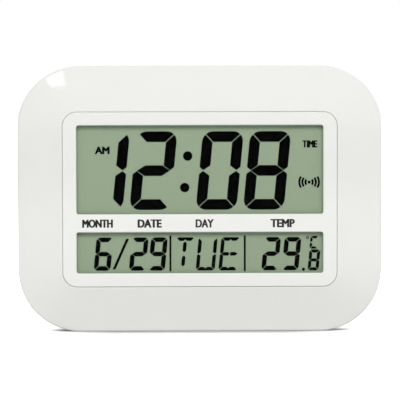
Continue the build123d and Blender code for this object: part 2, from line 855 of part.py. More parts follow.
with BuildPart() as rear_cover:
    add(rear_form.part)
    with BuildSketch(facing(rear_inner_y)):
        case_outline(case_wall)
    extrude(amount=rear_inner_y - parting_y, mode=Mode.SUBTRACT)
    with BuildSketch(facing(parting_y + case_wall)):
        case_outline(case_wall / 2 + lap_gap)
        case_outline(case_wall, Mode.SUBTRACT)
    extrude(amount=case_wall + lap_height)

    # bosses for the case screws
    pegs(case_screw_places, rear_boss_radius, rear_inner_y, rear_inner_y - parting_y)
    pegs(case_screw_places, screw_head_radius + head_clearance, back_y, head_recess_depth, Mode.SUBTRACT)
    case_hole = screw_shank_radius + passage_clearance
    pegs(case_screw_places, case_hole, head_seat_y, head_seat_y - parting_y, Mode.SUBTRACT)

    # battery well, open to the back
    well_place = (0, well_rise)
    well_bottom_y = well_floor_y - well_floor
    block(well_place, well_length + 2 * well_wall, well_height + 2 * well_wall, rear_inner_y, well_bottom_y)
    block(well_place, well_length, well_height, rear_inner_y, well_floor_y, Mode.SUBTRACT)
    block(well_place, door_opening_width, door_opening_height, back_y, rear_inner_y, Mode.SUBTRACT)
    for place in tab_places:
        tab_window_height = 2 * (well_wall + door_ledge)
        tab_window_y = rear_inner_y - tab_length - tab_thickness
        block(place, tab_width + door_gap, tab_window_height, rear_inner_y, tab_window_y, Mode.SUBTRACT)

    for z in (negative_z, positive_z):
        slot_place = (-(well_length + well_wall) / 2, z)
        slot_half = contact_thickness / 2 + tail_clearance
        block(
            slot_place,
            well_wall,
            tail_width + 2 * tail_clearance,
            cell_y + slot_half,
            cell_y - slot_half,
            Mode.SUBTRACT,
        )

    # tray and cheeks for the folded foot, with a finger notch at its free end
    with BuildSketch(facing(rear_inner_y)):
        foot_outline(foot_side_gap + tray_wall, foot_axis_z - barrel_radius - foot_gap - tray_wall)
    extrude(amount=rear_inner_y - tray_y + tray_wall)
    cheek_x = foot_width / 2 + foot_side_gap + tray_cheek / 2
    for side in (-1, 1):
        cheek_place = (side * cheek_x, foot_axis_z)
        block(cheek_place, tray_cheek, 4 * barrel_radius, rear_inner_y, tray_y - tray_wall)
    block(
        (0, notch_z),
        notch_width + 2 * tray_wall,
        notch_height + 2 * tray_wall,
        rear_inner_y,
        back_y - notch_depth - tray_wall,
    )
    with BuildSketch(facing(back_y)):
        foot_outline(foot_side_gap, foot_axis_z - barrel_radius - foot_gap)
    extrude(amount=back_y - tray_y, mode=Mode.SUBTRACT)
    with BuildSketch(facing(back_y)):
        with Locations((0, notch_z)):
            RectangleRounded(notch_width, notch_height, notch_corner)
    extrude(amount=notch_depth, mode=Mode.SUBTRACT)
    hinge_start = across(0, foot_axis_y, foot_axis_z)
    with BuildSketch(hinge_start):
        Circle(foot_pin_radius + foot_pin_clearance)
    hinge_reach = foot_width / 2 + foot_side_gap + foot_pin_length
    extrude(amount=hinge_reach, both=True, mode=Mode.SUBTRACT)

    # sunk key bay with one hole for each key
    key_bay_place = (key_x, key_bay_rise)
    bay_outer_width = key_bay_width + 2 * rear_wall
    bay_outer_height = key_bay_height + 2 * rear_wall
    block(key_bay_place, bay_outer_width, bay_outer_height, rear_inner_y, key_seat_y)
    with BuildSketch(facing(back_y)):
        with Locations((key_x, key_bay_rise)):
            RectangleRounded(key_bay_width, key_bay_height, key_width / 3)
    extrude(amount=key_bay_depth, mode=Mode.SUBTRACT)
    with BuildSketch(facing(key_bay_y)):
        with Locations(*key_places[:-1]):
            RectangleRounded(key_width + 2 * key_gap, key_height + 2 * key_gap, key_corner + key_gap)
        with Locations(key_places[-1]):
            Circle(reset_radius + key_gap)
    extrude(amount=rear_wall, mode=Mode.SUBTRACT)
    pegs(key_support_places, key_post_support_radius, rear_inner_y, rear_inner_y - key_board_back_y)
    support_pilot = small_screw_shank_radius + pilot_clearance
    pegs(key_support_places, support_pilot, key_board_back_y, -small_screw_length, Mode.SUBTRACT)

    # hanging keyhole over a closed pocket
    pocket_place = (0, pocket_z)
    pocket_outer_width = pocket_width + 2 * pocket_wall
    pocket_outer_height = pocket_height + 2 * pocket_wall
    pocket_y = rear_inner_y - pocket_depth
    block(pocket_place, pocket_outer_width, pocket_outer_height, rear_inner_y, pocket_y - pocket_wall)
    block(pocket_place, pocket_width, pocket_height, rear_inner_y, pocket_y, Mode.SUBTRACT)
    with BuildSketch(facing(back_y)):
        with Locations((0, keyhole_z)):
            Circle(keyhole_entry_radius)
        with Locations((0, keyhole_z + keyhole_lift)):
            Circle(keyhole_slot_width / 2)
        with Locations((0, keyhole_z + keyhole_lift / 2)):
            Rectangle(keyhole_slot_width, keyhole_lift)
    extrude(amount=rear_wall, mode=Mode.SUBTRACT)

    # saddles for the aerial, posts for its board, and vent slots beside the thermometer
    for side in (-1, 1):
        saddle_place = (rod_x + side * saddle_spacing / 2, rod_z)
        block(saddle_place, saddle_thickness, saddle_height, rear_inner_y, rod_y - rod_radius / 2)
    with BuildSketch(across(rod_x, rod_y, rod_z)):
        Circle(rod_radius + rod_clearance)
    extrude(amount=rod_length / 2, both=True, mode=Mode.SUBTRACT)
    receiver_posts = [(receiver_x + side * receiver_width / 3, receiver_z) for side in (-1, 1)]
    pegs(receiver_posts, holder_boss_radius, rear_inner_y, rear_inner_y - receiver_y)
    with BuildSketch(facing(back_y)):
        with Locations((key_x, vent_z)):
            with GridLocations(vent_pitch, 0, vent_count, 1):
                SlotOverall(vent_length, vent_width, rotation=90)
    extrude(amount=rear_wall, mode=Mode.SUBTRACT)
rear_cover.part.label = "rear_cover"
export_step(rear_cover.part, "parts/rear_cover.step")

with BuildPart() as case_screws:
    pan_screws(
        case_screw_places,
        head_seat_y,
        screw_head_radius,
        screw_head_height,
        screw_shank_radius,
        screw_length,
    )
case_screws.part.label = "case_screws"
export_step(case_screws.part, "parts/case_screws.step")

# ---- Fold-out foot: thin plate with ribs on its hidden side, turning on two pins
with BuildPart() as foot:
    with BuildSketch(facing(back_y - foot_sink)):
        foot_outline(0, foot_axis_z)
    extrude(amount=foot_thickness)
    pocket_low = foot_axis_z + foot_thickness
    pocket_high = foot_axis_z + foot_length - foot_corner / 2
    pocket_count = 4
    pocket_pitch = (foot_width - 2 * foot_rib - foot_corner) / pocket_count
    with BuildSketch(facing(foot_inner_y)):
        with Locations((0, (pocket_low + pocket_high) / 2)):
            with GridLocations(pocket_pitch, 0, pocket_count, 1):
                RectangleRounded(pocket_pitch - foot_rib, pocket_high - pocket_low, foot_rib)
    extrude(amount=foot_skin - foot_thickness, mode=Mode.SUBTRACT)
    with BuildSketch(hinge_start):
        Circle(barrel_radius)
    extrude(amount=foot_width / 2, both=True)
    with BuildSketch(hinge_start):
        Circle(foot_pin_radius)
    extrude(amount=hinge_reach - lap_gap, both=True)
foot.part.label = "foot"
export_step(foot.part, "parts/foot.step")

# ---- Battery door: plate with two hooked tabs below and a latch finger above
with BuildPart() as battery_door:
    door_width = door_opening_width - 2 * door_gap
    door_height = door_opening_height - 2 * door_gap
    block(well_place, door_width, door_height, back_y, rear_inner_y)
    door_top = well_rise + door_height / 2
    slot_x = latch_width / 2 + latch_slot / 2
    for side in (-1, 1):
        slot_place = (side * slot_x, door_top - latch_drop / 2)
        block(slot_place, latch_slot, latch_drop, back_y, rear_inner_y, Mode.SUBTRACT)
    latch_z = well_rise + well_height / 2 - door_lip - latch_thickness / 2
    block((0, latch_z), latch_width, latch_thickness, rear_inner_y, rear_inner_y - latch_drop / 2)
    tab_back_y = rear_inner_y - tab_clearance
    for x, z in tab_places:
        root_z = z + door_gap + tab_length / 2
        block((x, root_z), tab_width, tab_length, rear_inner_y, tab_back_y - tab_thickness)
        hook_z = z + (door_gap - tab_length) / 2
        block((x, hook_z), tab_width, tab_length + door_gap, tab_back_y, tab_back_y - tab_thickness)
    grip_places = [(0, door_top - latch_drop - 2.4 * i) for i in (1, 2, 3)]
    with BuildSketch(facing(back_y)):
        with Locations(*grip_places):
            SlotOverall(latch_width, 1)
    extrude(amount=0.5, mode=Mode.SUBTRACT)
battery_door.part.label = "battery_door"
export_step(battery_door.part, "parts/battery_door.step")


# ---- Cells and their contacts
cell_names = ("upper_cell", "lower_cell")
cell_sides = (1, -1)
contact_x = well_length / 2 - contact_thickness
for name, side in zip(cell_names, cell_sides):
    cell_z = well_rise + side * cell_pitch / 2
    with BuildPart() as cell:
        with BuildSketch(across(side * (contact_x - cell_nipple), cell_y, cell_z)):
            Circle(cell_diameter / 2)
        extrude(amount=-side * cell_length)
        chamfer(cell.edges().filter_by(GeomType.CIRCLE), cell_nipple / 2)
        with BuildSketch(across(side * contact_x, cell_y, cell_z)):
            Circle(cell_nipple_radius)
        extrude(amount=-side * cell_nipple)
    cell.part.label = name
    export_step(cell.part, f"parts/{name}.step")

plate_height = cell_pitch - cell_clearance - contact_thickness
plate_depth = cell_diameter - 2 * cell_clearance


def contact_plate(side, z, height):
    """Flat contact standing against an end wall of the well."""
    with BuildSketch(across(side * contact_x, cell_y, z)) as plate:
        Rectangle(plate_depth, height)
    extrude(plate.sketch, amount=side * contact_thickness)


def solder_tail(z):
    """Strip from the contact at the left end of the well, out through the slot in its wall."""
    tail_length = well_wall + tail_reach
    middle_x = -well_length / 2 - tail_length / 2
    half = contact_thickness / 2
    block((middle_x, z), tail_length, tail_width, cell_y + half, cell_y - half)


def coil_spring(side, z):
    """Conical coil from a contact plate to the flat end of a cell."""
    rise = spring_length - spring_wire
    start = (side * (contact_x - spring_wire / 2), cell_y, middle_z + z)
    path = Helix(rise / spring_turns, rise, spring_radius, start, (-side, 0, 0), -spring_taper)
    section = Plane(origin=path @ 0, z_dir=path % 0)
    with BuildSketch(section) as wire:
        RegularPolygon(spring_wire / 2, 6)
    sweep(wire.sketch, path=path, is_frenet=True)


with BuildPart() as link_contact:
    contact_plate(1, well_rise, cell_pitch + plate_height)
    coil_spring(1, well_rise - cell_pitch / 2)
link_contact.part.label = "link_contact"
export_step(link_contact.part, "parts/link_contact.step")

with BuildPart() as negative_contact:
    contact_plate(-1, negative_z, plate_height)
    solder_tail(negative_z)
    coil_spring(-1, negative_z)
negative_contact.part.label = "negative_contact"
export_step(negative_contact.part, "parts/negative_contact.step")

with BuildPart() as positive_contact:
    contact_plate(-1, positive_z, plate_height)
    solder_tail(positive_z)
positive_contact.part.label = "positive_contact"
export_step(positive_contact.part, "parts/positive_contact.step")

# ---- Key board, its switches, and the keys
with BuildPart() as key_board:
    block(key_bay_place, key_board_width, key_board_height, key_board_back_y, key_board_front_y)
    pegs(key_support_places, board_hole, key_board_back_y, board_thickness, Mode.SUBTRACT)
key_board.part.label = "key_board"
export_step(key_board.part, "parts/key_board.step")

with BuildPart() as key_board_screws:
    pan_screws(
        key_support_places,
        key_board_front_y,
        small_screw_head_radius,
        small_screw_head_height,
        small_screw_shank_radius,
        small_screw_length,
        way=-1,
    )
key_board_screws.part.label = "key_board_screws"
export_step(key_board_screws.part, "parts/key_board_screws.step")

plunger_hole = plunger_radius + rod_clearance
plunger_depth = 2 * key_travel
with BuildPart() as switches:
    with BuildSketch(facing(switch_back_y)):
        with Locations(*key_places):
            Rectangle(switch_size, switch_size)
    extrude(amount=switch_height)
    pegs(key_places, plunger_hole, switch_back_y, plunger_depth + key_travel, Mode.SUBTRACT)
switches.part.label = "switches"
export_step(switches.part, "parts/switches.step")

key_names = ("set", "plus", "minus", "unit", "wave", "reset")
for name, place in zip(key_names, key_places):
    with BuildPart() as plunger:
        pegs([place], plunger_radius, plunger_y, plunger_rise + plunger_depth - key_travel / 2)
    plunger.part.label = f"plunger_{name}"
    export_step(plunger.part, f"parts/plunger_{name}.step")

    with BuildPart() as key:
        if name == "reset":
            pegs([place], reset_radius, key_bay_y, key_bay_y - key_flange_y)
            chamfer(key.faces().sort_by(Axis.Y)[-1].edges(), key_gap)
            pegs([place], reset_radius + key_flange, key_seat_y, key_flange_thickness)
        else:
            with BuildSketch(facing(key_bay_y + key_rise)):
                with Locations(place):
                    RectangleRounded(key_width, key_height, key_corner)
            extrude(amount=key_bay_y + key_rise - key_flange_y)
            chamfer(key.faces().sort_by(Axis.Y)[-1].edges(), key_rise / 3)
            block(place, key_width + 2 * key_flange, key_height + 2 * key_flange, key_seat_y, key_flange_y)
        pegs([place], key_post_radius, key_flange_y, key_post_length)
    key.part.label = f"key_{name}"
    export_step(key.part, f"parts/key_{name}.step")

# ---- Thermometer bead on the end of the key board, by the vents
with BuildPart() as thermometer:
    bead_z = middle_z + key_bay_rise - key_board_height / 2 - sensor_length
    with BuildSketch(Plane(origin=(key_x, key_board_back_y, bead_z), x_dir=(1, 0, 0), z_dir=(0, 0, 1))):
        Circle(sensor_radius)
    extrude(amount=sensor_length)
thermometer.part.label = "thermometer"
export_step(thermometer.part, "parts/thermometer.step")

# ---- Aerial for the time signal, and its board
with BuildPart() as ferrite_rod:
    with BuildSketch(across(rod_x, rod_y, rod_z)):
        Circle(rod_radius)
    extrude(amount=rod_length / 2, both=True)
ferrite_rod.part.label = "ferrite_rod"
export_step(ferrite_rod.part, "parts/ferrite_rod.step")

with BuildPart() as aerial_coil:
    with BuildSketch(across(rod_x, rod_y, rod_z)):
        Circle(coil_radius)
    extrude(amount=coil_length / 2, both=True)
    for side in (-1, 1):
        with BuildSketch(across(rod_x + side * coil_length / 2, rod_y, rod_z)):
            Circle(flange_radius)
        extrude(amount=side * flange_thickness)
    with BuildSketch(across(rod_x, rod_y, rod_z)):
        Circle(rod_radius + rod_clearance)
    extrude(amount=rod_length / 2, both=True, mode=Mode.SUBTRACT)
    wire_y = receiver_y - receiver_thickness / 2
    wire_start = middle_z + receiver_z + receiver_height / 2
    wire_depth = wire_y - rod_y
    coil_middle_radius = (rod_radius + coil_radius) / 2
    wire_end = middle_z + rod_z - math.sqrt(max(coil_middle_radius**2 - wire_depth**2, 0))
    with BuildSketch(Plane.XY.offset(wire_start)):
        with Locations((rod_x - coil_wire_spacing / 2, wire_y), (rod_x + coil_wire_spacing / 2, wire_y)):
            Circle(coil_wire_radius)
    extrude(amount=wire_end - wire_start)
aerial_coil.part.label = "aerial_coil"
export_step(aerial_coil.part, "parts/aerial_coil.step")

with BuildPart() as receiver_board:
    receiver_place = (receiver_x, receiver_z)
    block(receiver_place, receiver_width, receiver_height, receiver_y, receiver_y - receiver_thickness)
    pegs([receiver_place], receiver_height / 5, receiver_y - receiver_thickness, receiver_thickness)
receiver_board.part.label = "receiver_board"
export_step(receiver_board.part, "parts/receiver_board.step")


# ---- Leads: two from the cells, three from the receiver, and a flat ribbon from the key board
def lead(points, radius, bend):
    """Lead through points of the front view, its turns rounded to bend. Its section has eight sides."""
    with BuildLine() as route:
        FilletPolyline(*[(x, y, middle_z + z) for x, y, z in points], radius=bend)
    with BuildSketch(Plane(origin=route.line @ 0, z_dir=route.line % 0)) as section:
        RegularPolygon(radius, 8)
    sweep(section.sketch, path=route.line)


lead_land_z = main_board_z - main_board_height / 2 + lead_inset
tail_end_x = -well_length / 2 - well_wall - tail_reach
lead_names = ("negative_lead", "positive_lead")
for name, run_x, z in zip(lead_names, (negative_lead_x, positive_lead_x), (negative_z, positive_z)):
    with BuildPart() as cell_lead:
        start = (tail_end_x, cell_y, z)
        landing = (run_x, board_back_y, lead_land_z)
        lead([start, (run_x, cell_y, z), (run_x, cell_y, lead_land_z), landing], lead_radius, lead_bend)
    cell_lead.part.label = name
    export_step(cell_lead.part, f"parts/{name}.step")

with BuildPart() as receiver_lead:
    lead_top_z = receiver_z - receiver_height / 2 + receiver_lead_radius * 4
    lead_low_z = lead_top_z - receiver_lead_drop
    receiver_front_y = receiver_y - receiver_thickness
    slack_y = (receiver_front_y + board_back_y) / 2
    for i in (-1, 0, 1):
        run_x = receiver_lead_x + i * receiver_lead_pitch
        points = [
            (run_x, receiver_front_y, lead_top_z),
            (run_x, slack_y, lead_top_z),
            (run_x, slack_y, lead_low_z),
            (run_x, board_back_y, lead_low_z),
        ]
        lead(points, receiver_lead_radius, receiver_lead_bend)
receiver_lead.part.label = "receiver_lead"
export_step(receiver_lead.part, "parts/receiver_lead.step")

with BuildPart() as key_ribbon:
    ribbon_y = board_back_y + ribbon_stand
    ribbon_top = middle_z + main_board_z - main_board_height / 2 + ribbon_inset
    ribbon_low = ribbon_top - ribbon_drop
    with BuildLine() as ribbon_route:
        FilletPolyline(
            (ribbon_x, board_back_y, ribbon_top),
            (ribbon_x, ribbon_y, ribbon_top),
            (ribbon_x, ribbon_y, ribbon_low),
            (ribbon_x, key_board_front_y, ribbon_low),
            radius=ribbon_bend,
        )
    ribbon_start = Plane(origin=ribbon_route.line @ 0, x_dir=(1, 0, 0), z_dir=(0, 1, 0))
    with BuildSketch(ribbon_start):
        Rectangle(ribbon_width, ribbon_thickness)
    sweep(path=ribbon_route.line)
key_ribbon.part.label = "key_ribbon"
export_step(key_ribbon.part, "parts/key_ribbon.step")
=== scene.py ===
import math

import bmesh
import bpy
from mathutils import Matrix, Vector


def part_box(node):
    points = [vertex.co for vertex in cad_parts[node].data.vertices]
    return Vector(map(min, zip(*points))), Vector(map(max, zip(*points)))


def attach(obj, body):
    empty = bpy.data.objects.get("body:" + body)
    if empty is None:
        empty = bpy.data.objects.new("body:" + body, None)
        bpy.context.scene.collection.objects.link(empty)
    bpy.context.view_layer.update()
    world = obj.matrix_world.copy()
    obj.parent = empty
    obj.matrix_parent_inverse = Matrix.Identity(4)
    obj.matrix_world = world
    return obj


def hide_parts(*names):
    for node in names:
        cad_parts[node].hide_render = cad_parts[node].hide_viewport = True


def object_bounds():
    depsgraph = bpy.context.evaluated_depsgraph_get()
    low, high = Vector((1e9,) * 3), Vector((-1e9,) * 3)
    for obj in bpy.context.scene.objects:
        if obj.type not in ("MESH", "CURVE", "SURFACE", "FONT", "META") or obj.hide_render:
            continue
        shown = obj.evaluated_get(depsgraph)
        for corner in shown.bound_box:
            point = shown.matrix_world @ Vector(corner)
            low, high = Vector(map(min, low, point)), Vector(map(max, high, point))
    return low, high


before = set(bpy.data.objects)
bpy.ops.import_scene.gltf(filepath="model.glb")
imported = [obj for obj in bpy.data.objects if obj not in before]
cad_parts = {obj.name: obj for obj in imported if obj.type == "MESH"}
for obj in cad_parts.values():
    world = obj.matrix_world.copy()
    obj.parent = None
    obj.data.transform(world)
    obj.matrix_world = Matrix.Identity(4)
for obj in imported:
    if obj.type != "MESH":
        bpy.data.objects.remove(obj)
cad_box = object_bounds()
scene = bpy.context.scene
scene.view_settings.view_transform = "Standard"

# ---- Camera
# A long lens far in front of the clock and a little above its middle, so that the case is seen almost
# straight on. The aim point lies on the face of the display surround.
MM = 0.001
SENSOR = 36.0
camera_distance = 2000 * MM
camera_aim = Vector((0.05 * MM, -14 * MM, 99.84 * MM))
camera_azimuth = math.radians(-0.856)
camera_elevation = math.radians(3.316)
camera_roll = math.radians(-0.107)
camera_focal = 239.15

outward = Vector(
    (
        math.sin(camera_azimuth) * math.cos(camera_elevation),
        -math.cos(camera_azimuth) * math.cos(camera_elevation),
        math.sin(camera_elevation),
    )
)
level_right = (-outward).cross(Vector((0, 0, 1))).normalized()
level_up = level_right.cross(-outward)
right = level_right * math.cos(camera_roll) + level_up * math.sin(camera_roll)
up = level_up * math.cos(camera_roll) - level_right * math.sin(camera_roll)
camera_data = bpy.data.cameras.new("camera")
camera_data.sensor_width = SENSOR
camera_data.lens = camera_focal
camera = bpy.data.objects.new("camera", camera_data)
turn = Matrix((right, up, outward)).transposed().to_4x4()
camera.matrix_world = Matrix.Translation(camera_aim + outward * camera_distance) @ turn
scene.collection.objects.link(camera)
scene.camera = camera

# ---- Light, floor and surroundings
# A broad soft lamp above and in front, weaker ones at the side and behind, and an even pale room. A
# small one shows as a window in the gloss of the frame. The floor is matt paper, as white as the room,
# with a painted shadow at the foot of the case.


def linear(code):
    """An sRGB hex colour as the linear colour that a shader takes."""
    shares = [int(code[i : i + 2], 16) / 255 for i in (0, 2, 4)]
    return tuple(s / 12.92 if s <= 0.04045 else ((s + 0.055) / 1.055) ** 2.4 for s in shares) + (1.0,)


def add_node(owner, kind, inputs=None, **settings):
    """Adds a node with its settings. An input takes a value, or the socket that feeds it."""
    node = owner.node_tree.nodes.new("ShaderNode" + kind)
    for name, value in settings.items():
        setattr(node, name, value)
    for name, value in (inputs or {}).items():
        if isinstance(value, bpy.types.NodeSocket):
            owner.node_tree.links.new(value, node.inputs[name])
        else:
            node.inputs[name].default_value = value
    return node


def seen_directly(owner):
    """The socket that is 1 for what the camera sees, also in a mirror or through glass."""
    rays = add_node(owner, "LightPath")
    mirrored = add_node(
        owner,
        "Math",
        {0: rays.outputs["Is Camera Ray"], 1: rays.outputs["Is Glossy Ray"]},
        operation="MAXIMUM",
    )
    passed = add_node(
        owner,
        "Math",
        {0: mirrored.outputs[0], 1: rays.outputs["Is Transmission Ray"]},
        operation="MAXIMUM",
    )
    return passed.outputs[0]


def new_material(name):
    """A material without nodes, to be filled."""
    material = bpy.data.materials.new(name)
    material.use_nodes = True
    material.node_tree.nodes.clear()
    return material


ROOM_LIGHT = 0.38
world = bpy.data.worlds.new("pale_room")
world.use_nodes = True
world.node_tree.nodes.clear()
scene.world = world
lit = add_node(world, "Background", {"Color": (1, 1, 1, 1), "Strength": ROOM_LIGHT})
shown = add_node(world, "Background", {"Color": (1, 1, 1, 1), "Strength": 1.0})
room = add_node(world, "MixShader", {0: seen_directly(world), 1: lit.outputs[0], 2: shown.outputs[0]})
add_node(world, "OutputWorld", {"Surface": room.outputs[0]})

# Each lamp's place and aim, its width and height, its power in watts and its turn in degrees about its
# own axis. The window lamp is aimed at the upper left corner of the border, where its image lies.
MIDDLE = (0, 0, 0.1)
LAMPS = {
    "key_lamp": ((0.09, -1.55, 1.28), MIDDLE, (1.5, 0.8), 25, 0),
    "side_lamp": ((1.5, -0.05, 0.25), MIDDLE, (0.3, 0.6), 2, 0),
    "back_lamp": ((-0.5, 1.5, 1.2), MIDDLE, (1.2, 0.8), 19, 0),
    "window_lamp": (
        (-0.1374, -0.1469, 0.2417),
        (-0.1097, -0.0066, 0.1965),
        (0.0304, 0.0225),
        0.0075,
        16,
    ),
}
for name, (place, aim, size, power, roll) in LAMPS.items():
    data = bpy.data.lights.new(name, "AREA")
    data.shape = "RECTANGLE"
    data.size, data.size_y = size
    data.energy = power
    lamp = bpy.data.objects.new(name, data)
    facing = (Vector(place) - Vector(aim)).to_track_quat("Z", "Y").to_matrix().to_4x4()
    lamp.matrix_world = Matrix.Translation(place) @ facing @ Matrix.Rotation(math.radians(roll), 4, "Z")
    scene.collection.objects.link(lamp)
    if name == "window_lamp":
        lamp.visible_camera = False
        lamp.visible_diffuse = False  # it only shows as a reflection, and lights nothing
    else:
        lamp.visible_glossy = False  # or it would burn out the rounded edges, which mirror the pale room

FLOOR_SIDE = 12.0
FLOOR_DROP = 0.05 * MM  # keeps the paper clear of the flat edge that stands on it
PAPER_LIT = linear("D8D8D8")  # for the light that it sends back up to the case
PAPER_MIRRORED = (1.4, 1.4, 1.4, 1)  # as the gloss of the case shows it
# What the camera sees of the paper is brighter than its lit colour, so that it reads as pure white: by
# LIFT_MIDDLE beside the case and LIFT_FAR further off. At the case's foot it is darker than its lit
# colour instead, which paints a shadow there deeper than the one the case casts; that painted shadow's
# zone is set below, with how far it blends out.
LIFT_IN_PAINTED_SHADOW, LIFT_MIDDLE, LIFT_FAR = 0.6, 1.9, 5.0
PAINTED_SHADOW_HALF = (0.06, 0.008, 1)
PAINTED_SHADOW_FADE = (0.4, 1, 1)  # the painted shadow ends more slowly along the case, where its corners rise
PAINTED_SHADOW_TO, FAR_FROM, FAR_TO = 0.035, 0.16, 0.45
sheet = bmesh.new()
bmesh.ops.create_grid(sheet, x_segments=2, y_segments=2, size=FLOOR_SIDE / 2)
floor_mesh = bpy.data.meshes.new("floor")
sheet.to_mesh(floor_mesh)
sheet.free()
floor = bpy.data.objects.new("floor", floor_mesh)
floor.location = (0, 0, -FLOOR_DROP)
scene.collection.objects.link(floor)
paper = new_material("white_paper")
paper_place = add_node(paper, "TexCoord").outputs["Object"]
either_side = add_node(paper, "VectorMath", {0: paper_place}, operation="ABSOLUTE")
past_painted_shadow = add_node(paper, "VectorMath", {0: either_side.outputs[0], 1: PAINTED_SHADOW_HALF}, operation="SUBTRACT")
beyond = add_node(paper, "VectorMath", {0: past_painted_shadow.outputs[0], 1: (0, 0, 0)}, operation="MAXIMUM")
fading = add_node(paper, "VectorMath", {0: beyond.outputs[0], 1: PAINTED_SHADOW_FADE}, operation="MULTIPLY")
off_painted_shadow = add_node(paper, "VectorMath", {0: fading.outputs[0]}, operation="LENGTH").outputs["Value"]
# Painted shadow: at the foot of the case the camera sees the paper darker than its lit colour.
lift_with_painted_shadow = add_node(
    paper,
    "MapRange",
    {0: off_painted_shadow, 2: PAINTED_SHADOW_TO, 3: LIFT_IN_PAINTED_SHADOW, 4: LIFT_MIDDLE},
    interpolation_type="SMOOTHSTEP",
)
far_lift = add_node(
    paper, "MapRange", {0: off_painted_shadow, 1: FAR_FROM, 2: FAR_TO, 4: LIFT_FAR - LIFT_MIDDLE}
)
lift = add_node(paper, "Math", {0: lift_with_painted_shadow.outputs[0], 1: far_lift.outputs[0]}, operation="ADD")
mirrored_tone = add_node(
    paper, "Mix", {0: seen_directly(paper), 6: PAPER_LIT, 7: PAPER_MIRRORED}, data_type="RGBA"
)
by_camera = add_node(paper, "LightPath").outputs["Is Camera Ray"]
tone = add_node(
    paper, "Mix", {0: by_camera, 6: mirrored_tone.outputs[2], 7: lift.outputs[0]}, data_type="RGBA"
)
matt = add_node(paper, "BsdfDiffuse", {"Color": tone.outputs[2]})
add_node(paper, "OutputMaterial", {"Surface": matt.outputs[0]})
floor_mesh.materials.append(paper)

# ---- Front frame and display surround
# Two gloss mouldings in white ABS. The frame is the broad sloping border with its side wall. The
# surround is a flat panel, flush in it with a thin gap all round, and hooked into the frame's shelf.
PLASTIC_IOR = 1.53
FLOW_LENGTH = 45 * MM  # over which the colour drifts, as the melt filled the mould


def moulded(name, light, dark, roughness, grain, depth):
    """Moulded plastic: its lightest and darkest tone, its roughness from and to, and the size and depth
    of the texture that the wall of the mould leaves on it."""
    material = new_material(name)
    place = add_node(material, "TexCoord").outputs["Object"]
    flow = add_node(material, "TexNoise", {"Vector": place, "Scale": 1 / FLOW_LENGTH, "Detail": 1.0})
    grit = add_node(material, "TexNoise", {"Vector": place, "Scale": 1 / grain, "Detail": 2.0})
    tone = add_node(
        material, "Mix", {0: flow.outputs[0], 6: linear(light), 7: linear(dark)}, data_type="RGBA"
    )
    low, high = roughness
    polish = add_node(material, "MapRange", {0: grit.outputs[0], 3: low, 4: high})
    relief = add_node(material, "Bump", {"Height": grit.outputs[0], "Distance": depth})
    skin = add_node(
        material,
        "BsdfPrincipled",
        {
            "Base Color": tone.outputs[2],
            "Roughness": polish.outputs[0],
            "Normal": relief.outputs[0],
            "IOR": PLASTIC_IOR,
        },
    )
    add_node(material, "OutputMaterial", {"Surface": skin.outputs[0]})
    return material


def dress(material, *names):
    """Gives these CAD nodes the material."""
    for name in names:
        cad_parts[name].material_slots[0].material = material


# Polished steel moulds leave ABS with a clear gloss and a faint orange peel of some 2 mm. The frame is
# a shade darker than the surround: painted shade that stands for the shade on its sloping border.
GLOSS = (0.045, 0.065)
PEEL, PEEL_DEPTH = 2.2 * MM, 0.0008 * MM
frame_abs_painted_shade = moulded("gloss_white_abs", "EBEBE8", "E8E8E5", GLOSS, PEEL, PEEL_DEPTH)
panel_abs = moulded("gloss_white_abs_panel", "EEEFEA", "ECEDE8", GLOSS, PEEL, PEEL_DEPTH)
dress(frame_abs_painted_shade, "front_frame")
dress(panel_abs, "front_panel")

# ---- Words on the bar between the windows
# Pad printed on the surround in one thin coat of ink, to name what the digits below them show. The ink
# dries to a satin black that isn't quite even.
LEVEL_SHARE = 0.5  # a level stroke gains this share of what an upright one does, as in narrow type
FONT_MERGE = 1e-4  # in the font's own units, in which a line is about 1 tall


def lettering(name, words, centre, size, weight, back=False):
    """A word as a thin plate, facing the front or the back of the clock. centre and size are its middle
    and its width, thickness and height, and weight is what its upright strokes gain on either side. It is
    drawn taller, made heavier and then flattened, so that the level strokes gain less."""
    curve = bpy.data.curves.new(name, "FONT")
    curve.body = words
    curve.resolution_u = 5
    line = bpy.data.objects.new(name + "_line", curve)
    scene.collection.objects.link(line)
    bpy.context.view_layer.update()
    mesh = bpy.data.meshes.new_from_object(line.evaluated_get(bpy.context.evaluated_depsgraph_get()))
    bpy.data.objects.remove(line)
    shape = bmesh.new()
    shape.from_mesh(mesh)
    bmesh.ops.remove_doubles(shape, verts=shape.verts, dist=FONT_MERGE)
    upright = Matrix.Rotation(math.pi if back else 0, 4, "Z") @ Matrix.Rotation(math.pi / 2, 4, "X")
    bmesh.ops.transform(shape, matrix=upright, verts=shape.verts)
    low, high = [
        Vector([end(v.co[axis] for v in shape.verts) for axis in range(3)]) for end in (min, max)
    ]
    bmesh.ops.translate(shape, verts=shape.verts, vec=-(low + high) / 2)
    width, thickness, height = size
    drawn_tall = height / LEVEL_SHARE
    fit = ((width - 2 * weight) / (high.x - low.x), 1, (drawn_tall - 2 * weight) / (high.z - low.z))
    bmesh.ops.scale(shape, verts=shape.verts, vec=fit)
    bmesh.ops.inset_region(
        shape, faces=shape.faces, thickness=-weight, use_boundary=True, use_even_offset=True
    )
    bmesh.ops.scale(shape, verts=shape.verts, vec=(1, 0, LEVEL_SHARE))  # 0: flat, before it is raised
    plate = bmesh.ops.extrude_face_region(shape, geom=shape.faces)
    raised = [v for v in plate["geom"] if isinstance(v, bmesh.types.BMVert)]
    bmesh.ops.translate(shape, verts=raised, vec=(0, thickness, 0))
    bmesh.ops.translate(shape, verts=shape.verts, vec=Vector(centre) - Vector((0, thickness / 2, 0)))
    bmesh.ops.recalc_face_normals(shape, faces=shape.faces)
    shape.to_mesh(mesh)
    shape.free()
    mesh.name = name
    piece = bpy.data.objects.new(name, mesh)
    scene.collection.objects.link(piece)
    return piece


